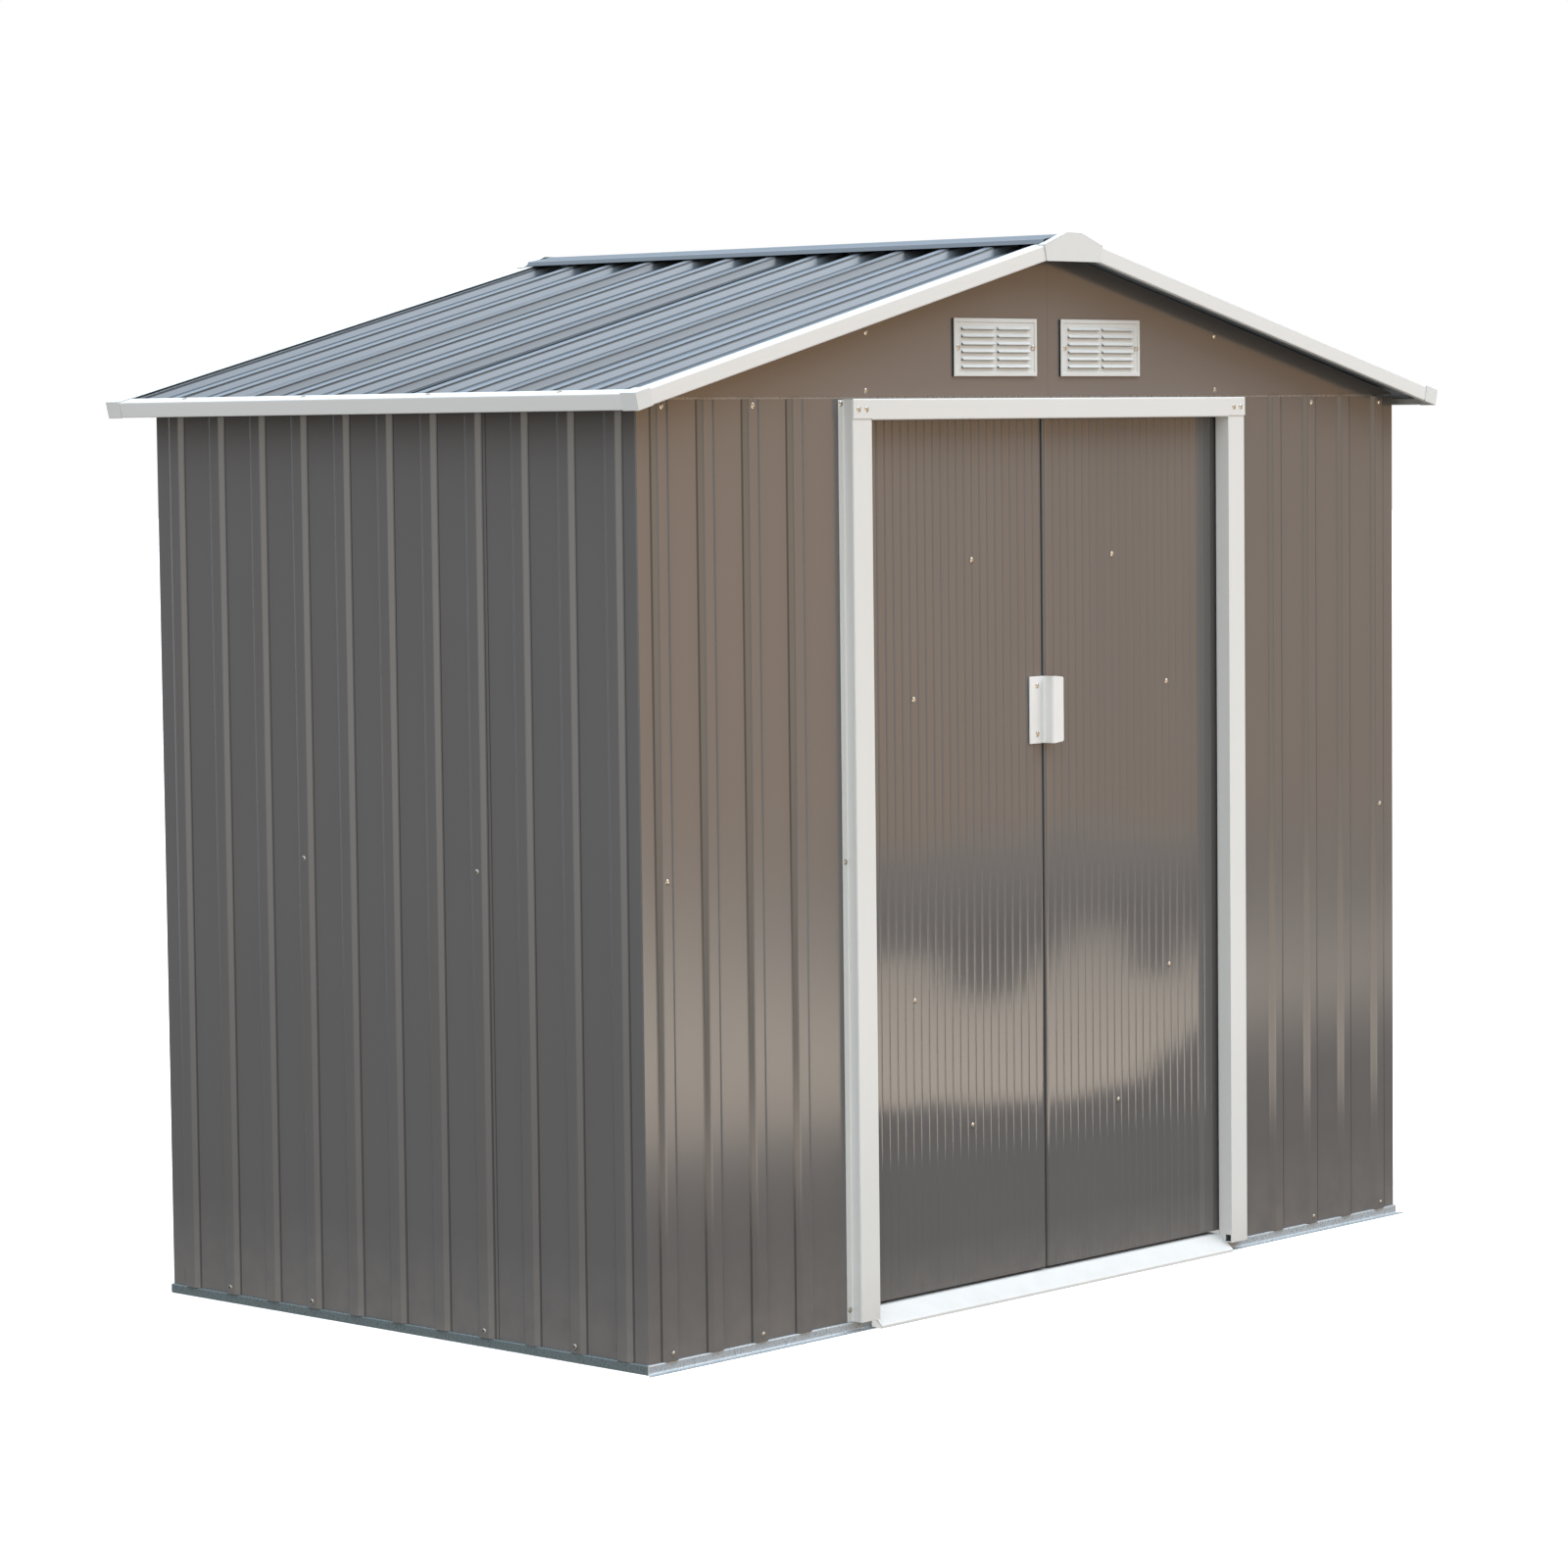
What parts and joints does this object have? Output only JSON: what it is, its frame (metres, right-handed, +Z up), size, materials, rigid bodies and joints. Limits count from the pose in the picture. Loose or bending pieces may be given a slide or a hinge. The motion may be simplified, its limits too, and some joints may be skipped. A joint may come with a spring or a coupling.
{
  "type": "metal storage shed",
  "caption": "Gabled garden shed of ribbed painted sheet on base rails, with white trim, gable vents and a pair of sliding doors.",
  "frame": {"origin": "middle of the footprint at ground level", "axes": "+X across the front to the right, +Y from the front to the back, +Z up"},
  "size_m": [2.13, 1.27, 1.81],
  "materials": {
    "wall_paint": "semi-gloss taupe grey paint",
    "roof_paint": "semi-gloss slate grey paint",
    "white_paint": "gloss white paint",
    "galvanised": "galvanised",
    "white_plastic": "satin white moulding",
    "slider_plastic": "matt black moulding"
  },
  "bodies": {
    "shed": {"front_base_rails": "galvanised", "side_base_rails": "galvanised", "back_base_rail": "galvanised", "door_sill": "white_paint", "door_jamb_left": "white_paint", "door_jamb_right": "white_paint", "door_header": "white_paint", "door_track": "galvanised", "front_wall_left": "wall_paint", "front_wall_right": "wall_paint", "left_wall_front": "wall_paint", "left_wall_rear": "wall_paint", "right_wall_front": "wall_paint", "right_wall_rear": "wall_paint", "back_wall_left": "wall_paint", "back_wall_middle": "wall_paint", "back_wall_right": "wall_paint", "side_top_rails": "galvanised", "back_top_rail": "galvanised", "side_wall_braces": "galvanised", "back_wall_brace": "galvanised", "front_gable_left": "wall_paint", "front_gable_right": "wall_paint", "back_gable_left": "wall_paint", "back_gable_right": "wall_paint", "front_vents": "white_plastic", "back_vents": "white_plastic", "ridge_beam": "galvanised", "roof_purlins": "galvanised", "roof_left_front": "roof_paint", "roof_left_rear": "roof_paint", "roof_right_front": "roof_paint", "roof_right_rear": "roof_paint", "ridge_cap": "roof_paint", "ridge_end_caps": "white_plastic", "eave_trims": "white_paint", "front_gable_trims": "white_paint", "back_gable_trims": "white_paint", "roof_corner_caps": "white_plastic"},
    "left_door": {"left_door": "wall_paint", "left_door_sliders": "slider_plastic", "door_handle": "white_plastic"},
    "right_door": {"right_door": "wall_paint", "right_door_sliders": "slider_plastic"}
  },
  "joints": [
    {"name": "left_door_slide", "type": "slide", "parent": "shed", "child": "left_door", "axis": [-1, 0, 0], "range_m": [0, 0.425]},
    {"name": "right_door_slide", "type": "slide", "parent": "shed", "child": "right_door", "axis": [1, 0, 0], "range_m": [0, 0.425]}
  ]
}
